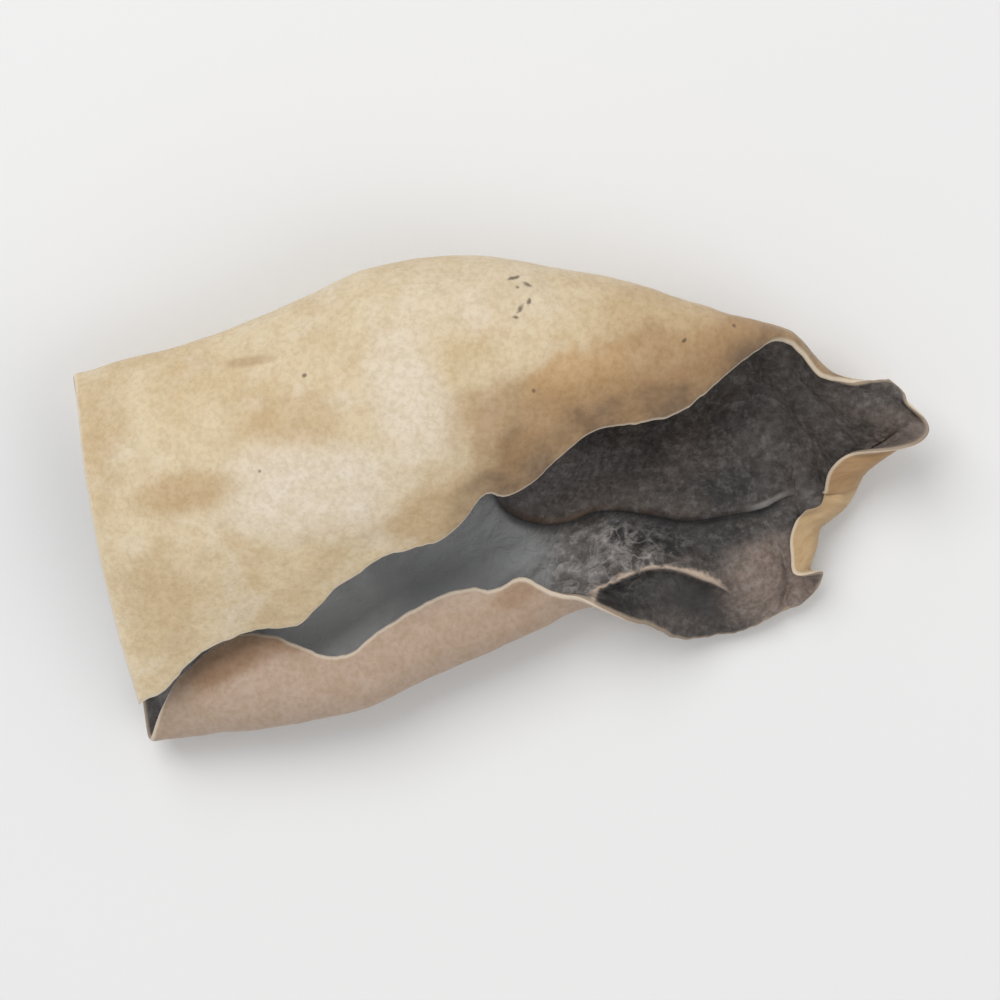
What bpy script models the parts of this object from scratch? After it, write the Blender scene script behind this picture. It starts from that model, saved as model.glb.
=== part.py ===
"""One dried wood ear mushroom (Auricularia cornea), lying on its back, in metres with +Z up.

It is a single leathery sheet that dried into a scroll. The cream, felted outer face is folded over the
far side, and its free edge stops short of the near side, so that the black inner face shows below it.
The near edge rolls up in a narrow band. The left end is the cut where the ear was taken off the wood,
and the right end is the free, frilled margin.
"""

import math

import bmesh
import bpy
import numpy as np

MM = 0.001
NODE = "wood_ear"

THICKNESS = 1.8  # of the dried flesh, mm
EDGE_SHARE = 0.55  # of that thickness, left at the free margins
EDGE_WIDTH = 5.0  # over which the flesh thins towards a margin, mm

LONG_CELLS, FRILL_CELLS = 34, 20  # mesh cells from the cut to where the frill starts, and on to its end
FRILL_START = 0.8  # share of the way from the cut to the frilled end
ROUND_CELLS = 40  # mesh cells from the flap's free edge round the scroll to the rim
SECTION_SAMPLES = 400  # fine steps that measure a section
BEND_LENGTH = 5.0  # mm of section that one radian of bend counts as, so that cells crowd into the folds

# The rails run from the cut end to the frilled end, with one (x, y, z) in mm at each of eleven stations.
# Read downwards, a station's points give the sheet's section there, from the flap's edge round to the rim.
RAILS = {
    "flap_edge": [(-36.8, -20.3, 10.2), (-27.0, -14.0, 11.6), (-16.5, -9.1, 12.8), (-6.0, -3.3, 14.0),
                  (4.6, 4.0, 13.8), (12.0, 7.2, 13.4), (18.6, 9.2, 13.0), (25.2, 14.8, 12.0),
                  (29.6, 15.8, 9.6), (33.4, 12.7, 8.2), (39.8, 12.6, 7.0)],
    "flap_low": [(-39.9, -8.0, 13.6), (-29.0, -4.0, 15.8), (-17.0, -0.5, 17.2), (-6.2, 5.0, 18.0),
                 (4.6, 10.4, 16.6), (11.8, 12.3, 15.6), (18.6, 13.8, 14.4), (25.3, 16.6, 12.4),
                 (29.8, 16.4, 9.2), (33.7, 13.1, 7.6), (41.4, 11.4, 6.6)],
    "flap_high": [(-42.2, 5.0, 12.4), (-31.0, 7.5, 15.5), (-18.0, 11.5, 17.8), (-6.6, 15.5, 18.0),
                  (4.4, 17.9, 16.2), (11.5, 18.4, 14.8), (18.2, 18.2, 13.4), (25.4, 17.9, 10.9),
                  (30.0, 16.6, 8.0), (34.1, 12.9, 6.7), (43.0, 9.9, 6.2)],
    "crest": [(-43.8, 12.9, 7.0), (-32.0, 15.0, 9.5), (-18.5, 20.2, 11.5), (-6.8, 23.6, 11.8),
              (4.2, 23.1, 11.0), (11.1, 21.9, 10.2), (17.6, 20.3, 9.2), (25.2, 17.7, 8.4),
              (30.0, 16.0, 6.4), (34.5, 12.1, 5.8), (43.6, 8.0, 5.7)],
    "under": [(-43.6, 7.5, 1.6), (-31.8, 10.5, 2.4), (-18.5, 17.0, 3.0), (-6.8, 20.5, 3.2),
              (4.0, 20.2, 3.2), (10.9, 19.2, 3.3), (17.6, 17.6, 3.4), (26.0, 14.4, 3.8),
              (30.8, 12.6, 3.9), (35.4, 9.8, 4.2), (41.9, 5.4, 5.0)],
    "back": [(-41.0, -5.0, 0.0), (-30.5, -1.0, 0.0), (-18.0, 4.0, 0.0), (-6.6, 8.0, 0.0),
             (4.2, 9.0, 0.1), (11.4, 9.2, 0.6), (18.4, 9.2, 1.2), (27.0, 8.4, 1.8),
             (31.4, 7.4, 2.1), (35.2, 5.6, 2.6), (39.2, 2.4, 4.2)],
    "back_low": [(-38.0, -17.0, 0.2), (-28.5, -14.5, 0.2), (-17.0, -11.0, 0.2), (-6.4, -6.0, 0.2),
                 (4.6, -2.6, 0.3), (12.0, -0.8, 0.9), (19.0, 0.8, 1.6), (27.2, 2.2, 1.6),
                 (30.8, 2.1, 1.5), (33.8, 1.2, 1.8), (36.6, -0.9, 3.0)],
    "roll": [(-36.5, -24.2, 3.2), (-27.0, -22.5, 4.0), (-16.3, -20.4, 4.6), (-6.2, -16.1, 4.4),
             (5.2, -10.8, 4.2), (12.6, -7.6, 3.6), (19.4, -6.0, 4.2), (26.4, -5.6, 3.6),
             (29.8, -4.7, 2.4), (32.4, -4.0, 1.7), (34.6, -4.5, 2.2)],
    "lip": [(-35.0, -21.6, 6.2), (-26.5, -19.5, 7.8), (-16.3, -18.8, 8.2), (-6.1, -14.3, 7.8),
            (5.3, -10.7, 7.2), (12.7, -10.6, 5.8), (19.3, -10.2, 3.6), (26.0, -9.8, 2.2),
            (29.0, -8.5, 1.5), (31.3, -7.7, 1.3), (33.3, -8.1, 1.6)],
    "rim": [(-32.6, -18.2, 6.4), (-25.6, -13.4, 7.8), (-16.4, -15.5, 9.0), (-6.1, -9.7, 8.6),
            (5.4, -9.0, 9.2), (12.6, -12.2, 8.0), (19.2, -13.8, 2.6), (25.4, -13.2, 0.8),
            (27.6, -12.2, 1.0), (29.4, -11.3, 1.2), (31.1, -10.8, 1.2)],
}

# How much further out than its rail a free edge reaches, in mm, at each x in mm: scallops and notches.
FLAP_SCALLOPS = [(-36.8, 0.0), (-34.4, 0.7), (-30.0, -0.8), (-24.0, 0.6), (-20.5, 2.2), (-16.6, -0.6),
                 (-12.5, -1.9), (-6.0, 0.4), (-3.6, 0.0), (-1.8, -1.9), (0.4, 0.9), (3.0, 0.9),
                 (8.4, -0.8), (13.0, -0.7), (17.5, 0.0), (24.0, 0.0), (39.8, 0.0)]
RIM_SCALLOPS = [(-36.3, 0.0), (-21.0, 0.3), (-17.0, -0.3), (-12.5, 0.4), (-4.0, 0.2), (-0.5, -0.8),
                (2.4, 1.1), (6.0, -0.6), (10.0, 0.5), (14.0, -0.6), (18.4, 0.4), (31.0, 0.0)]

# The pleat's near edge, as (x, y) in mm, and its shape in mm.
PLEAT_LINE = [(-2.6, 1.0), (2.1, -1.6), (5.0, -2.3), (9.9, -0.8), (12.8, -0.8), (19.0, -2.2), (31.0, 0.8)]
PLEAT_HEIGHT, PLEAT_STEP, PLEAT_FADE, PLEAT_FAR_Y = 2.2, 2.0, 6.0, 19.0

# The frill's long and short waves: height and wavelength in mm, and the share of the way along where each
# starts.
SWELL, SWELL_WAVE, SWELL_START = 1.0, 15.0, 0.54
RIPPLE, RIPPLE_WAVE, RIPPLE_START = 0.7, 7.4, 0.65
CALM_WIDTH = 12.0  # of both long margins, where the waves die out, mm

SOFT_FLOOR = 0.6  # mm; a wave lower than this is pressed up, as by what the ear dried on


def spline(values, at):
    """The natural cubic spline through values, one for each whole number, read at the numbers in at."""
    values = np.asarray(values, float)
    count = len(values)
    system = 4 * np.eye(count) + np.eye(count, k=1) + np.eye(count, k=-1)
    system[0, :2] = (1, 0)
    system[-1, -2:] = (0, 1)
    right = np.zeros_like(values)
    right[1:-1] = 6 * (values[2:] - 2 * values[1:-1] + values[:-2])
    bend = np.linalg.solve(system, right.reshape(count, -1)).reshape(values.shape)
    low = np.clip(np.floor(at).astype(int), 0, count - 2)
    ahead = (at - low).reshape((-1,) + (1,) * (values.ndim - 1))
    behind = 1 - ahead
    straight = behind * values[low] + ahead * values[low + 1]
    return straight + ((behind**3 - behind) * bend[low] + (ahead**3 - ahead) * bend[low + 1]) / 6


def smoothstep(x):
    x = np.clip(x, 0, 1)
    return x * x * (3 - 2 * x)


def reach(scallops, rail_points, at):
    """How much further out the free edge reaches at the stations in at."""
    x = spline(np.array(rail_points)[:, 0], at)
    return np.interp(x, [s[0] for s in scallops], [s[1] for s in scallops])


def resampled(section, start, end, cells):
    """cells + 1 points along a section, from start mm in to end mm short of its end, crowded into bends."""
    steps = np.diff(section, axis=0)
    lengths = np.linalg.norm(steps, axis=1)
    directions = steps / lengths[:, None]
    turns = np.arccos(np.clip((directions[1:] * directions[:-1]).sum(axis=1), -1, 1))
    length = np.concatenate([[0], np.cumsum(lengths)])
    measure = length + BEND_LENGTH * np.concatenate([[0, 0], np.cumsum(turns)])
    first, last = np.interp([start, length[-1] - end], length, measure)
    at = np.interp(np.linspace(first, last, cells + 1), measure, length)
    points = np.stack([np.interp(at, length, section[:, k]) for k in range(3)], axis=1)
    # Where a free edge reaches past its rail, the section carries straight on.
    points[0] += directions[0] * min(start, 0)
    points[-1] -= directions[-1] * min(end, 0)
    return points


def scroll(along, round_cells):
    """The middle of the flesh: rows of points round the scroll, one row for each number in along (0 to 1)."""
    rails = np.array(list(RAILS.values())).transpose(1, 0, 2)
    at = along * (len(rails) - 1)
    stations = spline(rails, at)
    fine = np.linspace(0, stations.shape[1] - 1, SECTION_SAMPLES)
    sections = spline(stations.transpose(1, 0, 2), fine).transpose(1, 0, 2)
    flap = reach(FLAP_SCALLOPS, RAILS["flap_edge"], at)
    rim = reach(RIM_SCALLOPS, RAILS["rim"], at)
    return np.array([resampled(s, -f, -r, round_cells) for s, f, r in zip(sections, flap, rim)])


def normals(grid):
    """The way out through the cream face at each point of the grid."""
    crossed = np.cross(np.gradient(grid, axis=0), np.gradient(grid, axis=1))
    return crossed / np.linalg.norm(crossed, axis=2, keepdims=True)


def travelled(grid, axis):
    """The length of sheet from the grid's first row or column to each point, in mm."""
    steps = np.linalg.norm(np.diff(grid, axis=axis), axis=2)
    return np.concatenate([np.zeros_like(np.take(steps, [0], axis)), np.cumsum(steps, axis=axis)], axis=axis)


def margin_distance(grid):
    """How far each point is from the nearest free margin, measured along the sheet, in mm."""
    round_way = travelled(grid, 1)
    along_way = travelled(grid, 0)
    to_sides = np.minimum(round_way, round_way[:, -1:] - round_way)
    return np.minimum(to_sides, along_way[-1:] - along_way)


def pleated(grid):
    """The grid with the low pleat that crosses the black face: its far side stands PLEAT_HEIGHT higher."""
    x, y = grid[:, :, 0], grid[:, :, 1]
    line = np.interp(x, [p[0] for p in PLEAT_LINE], [p[1] for p in PLEAT_LINE])
    share = smoothstep((y - line) / PLEAT_STEP) * smoothstep((x - PLEAT_LINE[0][0]) / PLEAT_FADE)
    share *= smoothstep((PLEAT_LINE[-1][0] - x) / PLEAT_FADE) * smoothstep((PLEAT_FAR_Y - y) / PLEAT_FADE)
    lower_layer = np.cumsum(normals(grid)[:, :, 2] < 0, axis=1) > 0
    raised = grid.copy()
    raised[:, :, 2] += PLEAT_HEIGHT * share * lower_layer
    return raised


def frilled(grid, along):
    """The grid with waves that grow towards the free end, none of them lower than the flat of the back."""
    way = travelled(grid, 1)
    along = along[:, None]
    calm = smoothstep(way / CALM_WIDTH) * smoothstep((way[:, -1:] - way) / CALM_WIDTH)
    swell = SWELL * smoothstep((along - SWELL_START) / (1 - SWELL_START))
    ripple = RIPPLE * smoothstep((along - RIPPLE_START) / (1 - RIPPLE_START))
    waves = swell * np.sin(2 * math.pi * way / SWELL_WAVE + 3.0 * along)
    waves += ripple * np.sin(2 * math.pi * way / RIPPLE_WAVE - 5.0 * along)
    waved = grid + normals(grid) * (calm * waves)[:, :, None]
    height = waved[:, :, 2]
    waved[:, :, 2] = np.where(height < SOFT_FLOOR, SOFT_FLOOR * np.exp(height / SOFT_FLOOR - 1), height)
    return waved


def material():
    flesh = bpy.data.materials.new("dried_flesh")
    flesh.use_nodes = True
    shader = flesh.node_tree.nodes["Principled BSDF"]
    shader.inputs["Base Color"].default_value = (0.62, 0.51, 0.36, 1.0)
    shader.inputs["Roughness"].default_value = 0.9
    shader.inputs["Metallic"].default_value = 0.0
    return flesh


def build():
    for leftover in list(bpy.data.objects):
        bpy.data.objects.remove(leftover)

    along = np.concatenate([np.linspace(0, FRILL_START, LONG_CELLS, endpoint=False),
                            np.linspace(FRILL_START, 1, FRILL_CELLS + 1)])
    grid = frilled(pleated(scroll(along, ROUND_CELLS)), along)
    thinning = EDGE_SHARE + (1 - EDGE_SHARE) * smoothstep(margin_distance(grid) / EDGE_WIDTH)

    sheet = bmesh.new()
    flesh_layer = sheet.verts.layers.deform.verify()
    rows = [[sheet.verts.new(point * MM) for point in row] for row in grid]
    for row, shares in zip(rows, thinning):
        for vert, share in zip(row, shares):
            vert[flesh_layer][0] = float(share)
    for lower, upper in zip(rows[:-1], rows[1:]):
        for k in range(ROUND_CELLS):
            sheet.faces.new((lower[k], upper[k], upper[k + 1], lower[k + 1]))
    mesh = bpy.data.meshes.new(NODE)
    sheet.to_mesh(mesh)
    sheet.free()

    ear = bpy.data.objects.new(NODE, mesh)
    bpy.context.scene.collection.objects.link(ear)
    ear.vertex_groups.new(name="flesh")
    ear.data.materials.append(material())
    mesh.shade_smooth()
    solid = ear.modifiers.new("flesh", "SOLIDIFY")
    solid.thickness = THICKNESS * MM
    solid.offset = 0
    solid.vertex_group = "flesh"

    bpy.context.view_layer.update()
    corners = np.array(ear.evaluated_get(bpy.context.evaluated_depsgraph_get()).bound_box)
    lowest, highest = corners.min(axis=0), corners.max(axis=0)
    middle = (lowest + highest) / 2
    ear.location = (-middle[0], -middle[1], -lowest[2])


build()
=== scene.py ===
"""One dried wood ear mushroom, rolled into an open scroll, lying on a pale studio floor.

The ear is one closed mesh of two skins, cream felt outside and black-brown inside, that meet at its margins.
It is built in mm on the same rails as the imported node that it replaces, and then moved into that node's box.
"""

import math

import bpy
import mathutils
import numpy as np
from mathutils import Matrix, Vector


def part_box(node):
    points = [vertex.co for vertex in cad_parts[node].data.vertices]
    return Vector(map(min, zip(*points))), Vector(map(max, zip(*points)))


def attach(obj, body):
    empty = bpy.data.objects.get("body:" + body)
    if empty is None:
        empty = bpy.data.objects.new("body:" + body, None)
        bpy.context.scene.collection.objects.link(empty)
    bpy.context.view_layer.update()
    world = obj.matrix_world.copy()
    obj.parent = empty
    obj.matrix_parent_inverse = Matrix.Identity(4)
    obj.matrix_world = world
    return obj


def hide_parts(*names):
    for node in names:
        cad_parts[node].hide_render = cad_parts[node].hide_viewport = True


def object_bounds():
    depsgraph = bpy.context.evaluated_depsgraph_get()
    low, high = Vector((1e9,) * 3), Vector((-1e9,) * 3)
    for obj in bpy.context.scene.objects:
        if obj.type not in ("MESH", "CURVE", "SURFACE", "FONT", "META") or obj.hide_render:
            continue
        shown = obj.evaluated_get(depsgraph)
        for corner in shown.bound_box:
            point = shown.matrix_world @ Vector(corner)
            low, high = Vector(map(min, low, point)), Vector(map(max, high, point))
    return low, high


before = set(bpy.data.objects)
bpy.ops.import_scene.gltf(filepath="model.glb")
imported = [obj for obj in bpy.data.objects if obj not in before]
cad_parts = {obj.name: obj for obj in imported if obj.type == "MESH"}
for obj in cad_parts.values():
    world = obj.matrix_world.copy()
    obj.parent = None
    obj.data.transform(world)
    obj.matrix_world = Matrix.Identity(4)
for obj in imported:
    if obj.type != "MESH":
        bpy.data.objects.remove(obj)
cad_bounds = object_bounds()

MM = 0.001
NODE = "wood_ear"

# The flesh.
THICKNESS = 1.8  # mm
EDGE_SHARE = 0.42  # of that thickness, left near the margins
EDGE_WIDTH = 6.0  # mm over which the flesh thins towards a margin
EDGE_ROUND = 0.7  # mm over which the margin itself is rounded
EDGE_PLAIN = 1.5  # mm from a margin, within which the skins' relief dies out

# The grid of cells, along the ear and round the scroll.
LONG_CELLS, ROUND_CELLS = 232, 198
SECTION_SAMPLES = 500  # fine steps that measure a section
PLACE_SAMPLES = 2000  # fine steps in which the cells of a section are shared out
BEND_LENGTH = 4.0  # mm of section that one radian of bend counts as, so that cells crowd into the folds
CROWD, CROWD_WIDTH = 5.0, 0.8  # how many more cells stand at a free edge, and over how many mm
FOLD_CROWD, FOLD_CROWD_WIDTH = 3.5, 0.9  # the same at the edge of a fold of the black face
STRAIGHT_ON = 4.0  # mm that a section carries straight on past its first and last rails
ROW_SAMPLES = 6000  # fine steps in which the rows are shared out
FRILL_CROWD, FRILL_FROM, FRILL_OVER = 0.9, 0.72, 0.2  # how many more rows stand in the frill, and from where
CUT_CROWD, MARGIN_CROWD, END_SHARE = 4.0, 5.0, 0.008  # how many more at both ends, and over what share

# The rails run from the cut end to the frilled end, with one (x, y, z) in mm at each of eleven stations.
# Read downwards, a station's points give the sheet's section there, from the flap's edge round to the rim.
RAILS = {
    "flap_edge": [(-36.8, -20.3, 10.2), (-27.0, -14.0, 11.6), (-16.5, -9.1, 12.8), (-6.0, -3.3, 14.0),
                  (4.6, 4.0, 13.8), (12.0, 7.2, 13.4), (18.6, 9.2, 13.0), (25.2, 14.8, 12.0),
                  (29.6, 15.8, 9.6), (33.4, 12.7, 8.2), (39.8, 12.6, 7.0)],
    "flap_low": [(-39.9, -8.0, 13.6), (-29.0, -4.0, 15.8), (-17.0, -0.5, 17.2), (-6.2, 5.0, 18.0),
                 (4.6, 10.4, 16.6), (11.8, 12.3, 15.6), (18.6, 13.8, 14.4), (25.3, 16.6, 12.4),
                 (29.8, 16.4, 9.2), (33.7, 13.1, 7.6), (41.4, 11.4, 6.6)],
    "flap_high": [(-42.2, 5.0, 12.4), (-31.0, 7.5, 15.5), (-18.0, 11.5, 17.8), (-6.6, 15.5, 18.0),
                  (4.4, 17.9, 16.2), (11.5, 18.4, 14.8), (18.2, 18.2, 13.4), (25.4, 17.9, 10.9),
                  (30.0, 16.6, 8.0), (34.1, 12.9, 6.7), (43.0, 9.9, 6.2)],
    "crest": [(-43.8, 12.9, 7.0), (-32.0, 15.0, 9.5), (-18.5, 20.2, 11.5), (-6.8, 23.6, 11.8),
              (4.2, 23.1, 11.0), (11.1, 21.9, 10.2), (17.6, 20.3, 9.2), (25.2, 17.7, 8.4),
              (30.0, 16.0, 6.4), (34.5, 12.1, 5.8), (43.6, 8.0, 5.7)],
    "under": [(-43.6, 7.5, 1.6), (-31.8, 10.5, 2.4), (-18.5, 17.0, 3.0), (-6.8, 20.5, 3.2),
              (4.0, 20.2, 3.2), (10.9, 19.2, 3.3), (17.6, 17.6, 3.4), (26.0, 14.4, 3.8),
              (30.8, 12.6, 3.9), (35.4, 9.8, 4.2), (41.9, 5.4, 5.0)],
    "back": [(-41.0, -5.0, 0.0), (-30.5, -1.0, 0.0), (-18.0, 4.0, 0.0), (-6.6, 8.0, 0.0),
             (4.2, 9.0, 0.1), (11.4, 9.2, 0.6), (18.4, 9.2, 1.2), (27.0, 8.4, 1.8),
             (31.4, 7.4, 2.1), (35.2, 5.6, 2.6), (39.2, 2.4, 4.2)],
    "back_low": [(-38.0, -17.0, 0.2), (-28.5, -14.5, 0.2), (-17.0, -11.0, 0.2), (-6.4, -6.0, 0.2),
                 (4.6, -2.6, 0.3), (12.0, -0.8, 0.9), (19.0, 0.8, 1.6), (27.2, 2.2, 1.6),
                 (30.8, 2.1, 1.5), (33.8, 1.2, 1.8), (36.6, -0.9, 3.0)],
    "roll": [(-36.5, -24.2, 3.2), (-27.0, -22.5, 4.0), (-16.3, -20.4, 4.6), (-6.2, -16.1, 4.4),
             (5.2, -10.8, 4.2), (12.6, -7.6, 3.6), (19.4, -6.0, 4.2), (26.4, -5.6, 3.6),
             (29.8, -4.7, 2.4), (32.4, -4.0, 1.7), (34.6, -4.5, 2.2)],
    "lip": [(-35.0, -21.6, 6.2), (-26.5, -19.5, 7.8), (-16.3, -18.8, 8.2), (-6.1, -14.3, 7.8),
            (5.3, -10.7, 7.2), (12.7, -10.6, 5.8), (19.3, -10.2, 3.6), (26.0, -9.8, 2.2),
            (29.0, -8.5, 1.5), (31.3, -7.7, 1.3), (33.3, -8.1, 1.6)],
    "rim": [(-32.6, -18.2, 6.4), (-25.6, -13.4, 7.8), (-16.4, -15.5, 9.0), (-6.1, -9.7, 8.6),
            (5.4, -9.0, 9.2), (12.6, -12.2, 8.0), (19.2, -13.8, 2.6), (25.4, -13.2, 0.8),
            (27.6, -12.2, 1.0), (29.4, -11.3, 1.2), (31.1, -10.8, 1.2)],
}

# How much further out than its rail a free edge reaches, in mm, at each x in mm: scallops and notches.
FLAP_SCALLOPS = [(-36.8, 0.0), (-34.4, 0.7), (-30.0, -0.8), (-24.0, 0.6), (-20.5, 2.2), (-16.6, -0.6),
                 (-12.5, -1.9), (-6.0, 0.4), (-3.6, 0.0), (-1.8, -1.9), (0.4, 0.9), (3.0, 0.9),
                 (8.4, -0.8), (13.0, -0.7), (17.5, 0.0), (24.0, 0.0), (39.8, 0.0)]
RIM_SCALLOPS = [(-36.3, 0.0), (-21.0, 0.3), (-17.0, -0.3), (-12.5, 0.4), (-4.0, 0.2), (-0.5, -0.8),
                (2.4, 1.1), (6.0, -0.6), (10.0, 0.5), (14.0, -0.6), (18.4, 0.4), (31.0, 0.0)]
RAGGED = ((2.6, 0.34), (0.9, 0.20))  # each free edge's own raggedness: (size, height) of its bumps, mm

# The black face's two folds, each by the (x, y) of its near edge in mm. The lobe's far side stands higher,
# with a rounded lip. The ridge is a low crest with a hollow on its near side.
LOBE_LINE = [(-44.0, -2.0), (-1.0, 1.6), (0.5, -0.3), (2.1, -1.6), (5.0, -2.3), (7.5, -1.8), (9.9, -0.8),
             (12.8, -0.8), (15.0, -1.3), (19.0, -2.2), (22.0, -1.8), (26.2, -0.9), (29.0, 0.5), (40.0, 2.0)]
LOBE_FROM, LOBE_TO, LOBE_FADE = -2.6, 31.0, 4.0  # mm: its two ends in x, and how long it takes to grow there
LOBE_HEIGHT, LOBE_LIP, LOBE_WIDTH = 2.2, 1.8, 16.0  # mm; its lip's width, and that of the whole lobe
RIDGE_LINE = [(-44.0, -16.0), (6.0, -12.1), (8.1, -10.9), (10.6, -9.4), (12.4, -8.2), (14.4, -7.3),
              (16.6, -6.8), (18.6, -7.0), (20.4, -7.6), (22.0, -7.9), (23.8, -8.9), (40.0, -15.0)]
RIDGE_FROM, RIDGE_TO, RIDGE_FADE = 4.5, 25.0, 4.5  # mm, as for the lobe
RIDGE_HEIGHT, RIDGE_WIDTH = 1.0, 3.0  # mm
HOLLOW_DEPTH, HOLLOW_STEP, HOLLOW_WIDTH = 0.9, 0.6, 4.5  # mm; its near step's width, and that of the whole
ROUNDING = (-0.9, -0.6, -0.3, 0.0, 0.3, 0.6, 0.9)  # mm to either side, over which a line's corners round off
SHEET_SHARE = 0.7  # how much of the lobe's height is a step of the whole sheet
SHEET_STEP = 6.0  # mm over which that step rises

# Wrinkles of the black face: their spacing, how far they wander and their height in mm, and the (x, y) and
# radii of the place where they are strongest.
WRINKLE_SIZE, WRINKLE_WANDER, WRINKLE_HEIGHT = 2.2, 1.8, 0.32
WRINKLE_WIDTH = 0.14  # the noise's value at which a wrinkle ends
WRINKLED = ((8.6, -6.2), (7.5, 4.2))
WRINKLED_REACH = 1.6  # times those radii, where the wrinkles have faded out
WRINKLED_ELSEWHERE = 0.08  # how strong they are in other places

# The frill's long and short waves: height and wavelength in mm, and how far along the ear they start.
SWELL, SWELL_WAVE, SWELL_START = 1.0, 15.0, 0.54
RIPPLE, RIPPLE_WAVE, RIPPLE_START = 0.7, 7.4, 0.65
SWELL_DRIFT, RIPPLE_DRIFT = 3.0, -5.0  # radians by which each wave shifts from one end to the other
CALM_WIDTH = 12.0  # mm over which the waves grow in from the flap's edge and the rim
RIM_STIRS = 0.35  # how much of them is already there at the rim
SOFT_FLOOR = 0.6  # mm; a wave lower than this is pressed up, as by what the ear dried on

# Curls of the frilled margin, at each y in mm along it: how far they turn, in radians, how far in from the
# margin they start, and how long they are, both in mm.
CURL_TURNS = [(-7.4, 0.0), (-4.6, 2.6), (-2.0, 2.9), (1.0, 2.7), (4.0, 3.0), (6.4, 2.9), (8.5, 0.0),
              (9.0, 0.0), (10.1, 2.2), (11.3, 0.0)]
CURL_STARTS = [(-7.4, 4.2), (-5.0, 4.7), (-3.0, 4.2), (-1.0, 3.6), (0.4, 3.2), (2.2, 3.9), (4.4, 3.9),
               (6.2, 3.3), (8.5, 2.6), (11.0, 2.4)]
CURL_LENGTHS = [(-7.4, 4.2), (-5.0, 4.5), (-3.0, 4.3), (-1.0, 4.3), (0.4, 4.0), (2.2, 5.0), (4.4, 6.4),
                (6.0, 7.0), (7.2, 5.4), (8.5, 2.6), (11.0, 2.4)]
CURL_BENDS = 0.6  # share of a curl's length that bends; the rest lies straight
CURLS_FROM_X = 28.0  # mm; further towards the cut end the margin doesn't curl
LEAST_TURN = 0.01  # radians; the margin lies plain where it turns less
CURL_KEEPS = 0.1  # how much of the waves stays in a curl
CURL_SETTLES = 1.5  # how many radians of turn, and mm into the curl, that takes to come about
CURL_MOVES = 0.8  # mm by which a curl has moved the sheet where it is fully thin and smooth
CURL_THIN, CURL_SMOOTH = 0.35, 0.85  # how much of the thickness and of the relief goes there
SMOOTH_COLUMNS = 18  # to either side, over which the curls' direction is evened out

# Relief as (size, height in mm, seed): of the whole sheet, of the felt, and of the black face.
UNDULATIONS = ((16.0, 0.55, 21), (7.0, 0.26, 22), (3.2, 0.10, 23))
FELT_RELIEF = ((1.8, 0.06, 31), (0.9, 0.035, 32))
FACE_RELIEF = ((4.0, 0.20, 41), (1.8, 0.12, 42), (0.9, 0.06, 43))
CORNER_WIDTH = 6.0  # mm round the corner of rim and frilled margin, within which the sheet doesn't undulate
FLAP_SEED, RIM_SEED, WANDER_SEEDS, WRINKLE_SEED = 3, 11, (51, 52, 53), 54
SEED_STEP = (17.3, -9.1, 5.7)  # how far one seed's noise lies from the next one's

# Colours, linear.
CREAM = (0.690, 0.575, 0.395)
CREAM_WARM = (0.640, 0.505, 0.320)
CREAM_OCHRE = (0.560, 0.415, 0.245)
# Pale cream: the felt's own lighter clouds, and painted highlight where laid in patches.
CREAM_WHITE_AND_PAINTED_HIGHLIGHT = (0.755, 0.665, 0.545)
AMBER = (0.580, 0.375, 0.185)
ORANGE = (0.400, 0.252, 0.130)
EDGE_BROWN = (0.160, 0.108, 0.072)
# Darker brown, laid along the flap's edge:
EDGE_DARK_BROWN = (0.190, 0.140, 0.095)
BAND_PINK = (0.450, 0.335, 0.265)
BAND_BROWN = (0.320, 0.195, 0.115)
PALE_EDGE = (0.760, 0.670, 0.540)
PIT = (0.060, 0.045, 0.035)
BLACK = (0.056, 0.049, 0.046)
BLACK_BROWN = (0.088, 0.072, 0.063)
# Painted light, laid as pale grey over the black face's hollow:
PAINTED_GREY_LIGHT = (0.400, 0.405, 0.408)
PAINTED_PALE_LIGHT = (0.620, 0.620, 0.615)
# Grey bloom; the same grey is also laid as painted light on the lobe.
BLOOM_AND_PAINTED_LIGHT = (0.190, 0.178, 0.176)
BLOOM_LINE = (0.440, 0.415, 0.400)
PINK_BROWN = (0.240, 0.185, 0.158)
# Painted shadow, laid under the black face's folds and in its hollows:
PAINTED_SHADOW = (0.022, 0.021, 0.022)
FOLD_BROWN = (0.110, 0.068, 0.045)
RIDGE_PALE = (0.520, 0.405, 0.315)
TAN_EDGE = (0.380, 0.290, 0.210)

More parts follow.
